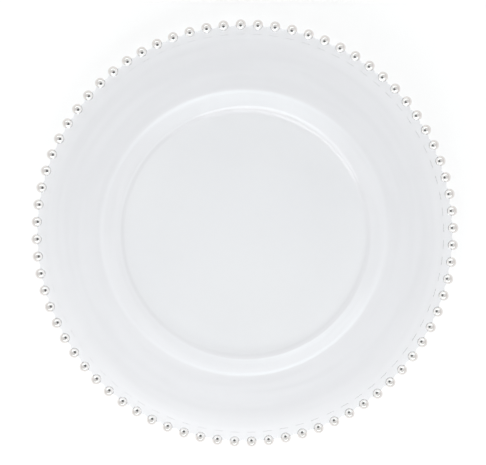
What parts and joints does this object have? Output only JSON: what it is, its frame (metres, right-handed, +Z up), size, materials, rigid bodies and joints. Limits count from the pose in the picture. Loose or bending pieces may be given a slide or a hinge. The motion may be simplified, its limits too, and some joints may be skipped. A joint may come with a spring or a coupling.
{
  "type": "beaded rim charger plate",
  "caption": "Round clear glass charger plate with a flat well, a sloping rim and silvered beads seated all round its edge, for setting under a dinner plate.",
  "frame": {"origin": "middle of the foot ring, on the surface that the plate stands on", "axes": "+Z up, along the plate's axis; +X points at one bead"},
  "size_m": [0.33, 0.33, 0.021],
  "materials": {
    "clear_glass": "clear pressed glass, fire-polished, faint grey-blue body",
    "silvered_bead": "bright silvered bead, slightly warm"
  },
  "bodies": {
    "root": {"glass_plate": "clear_glass", "bead_pair_01": "silvered_bead", "bead_pair_02": "silvered_bead", "bead_pair_03": "silvered_bead", "bead_pair_04": "silvered_bead", "bead_pair_05": "silvered_bead", "bead_pair_06": "silvered_bead", "bead_pair_07": "silvered_bead", "bead_pair_08": "silvered_bead", "bead_pair_09": "silvered_bead", "bead_pair_10": "silvered_bead", "bead_pair_11": "silvered_bead", "bead_pair_12": "silvered_bead", "bead_pair_13": "silvered_bead", "bead_pair_14": "silvered_bead", "bead_pair_15": "silvered_bead", "bead_pair_16": "silvered_bead", "bead_pair_17": "silvered_bead", "bead_pair_18": "silvered_bead", "bead_pair_19": "silvered_bead", "bead_pair_20": "silvered_bead", "bead_pair_21": "silvered_bead", "bead_pair_22": "silvered_bead", "bead_pair_23": "silvered_bead", "bead_pair_24": "silvered_bead", "bead_pair_25": "silvered_bead", "bead_pair_26": "silvered_bead", "bead_pair_27": "silvered_bead", "bead_pair_28": "silvered_bead", "bead_pair_29": "silvered_bead", "bead_pair_30": "silvered_bead", "bead_pair_31": "silvered_bead", "bead_pair_32": "silvered_bead", "bead_pair_33": "silvered_bead", "bead_pair_34": "silvered_bead", "bead_pair_35": "silvered_bead", "bead_pair_36": "silvered_bead", "bead_pair_37": "silvered_bead", "bead_pair_38": "silvered_bead"}
  },
  "joints": []
}
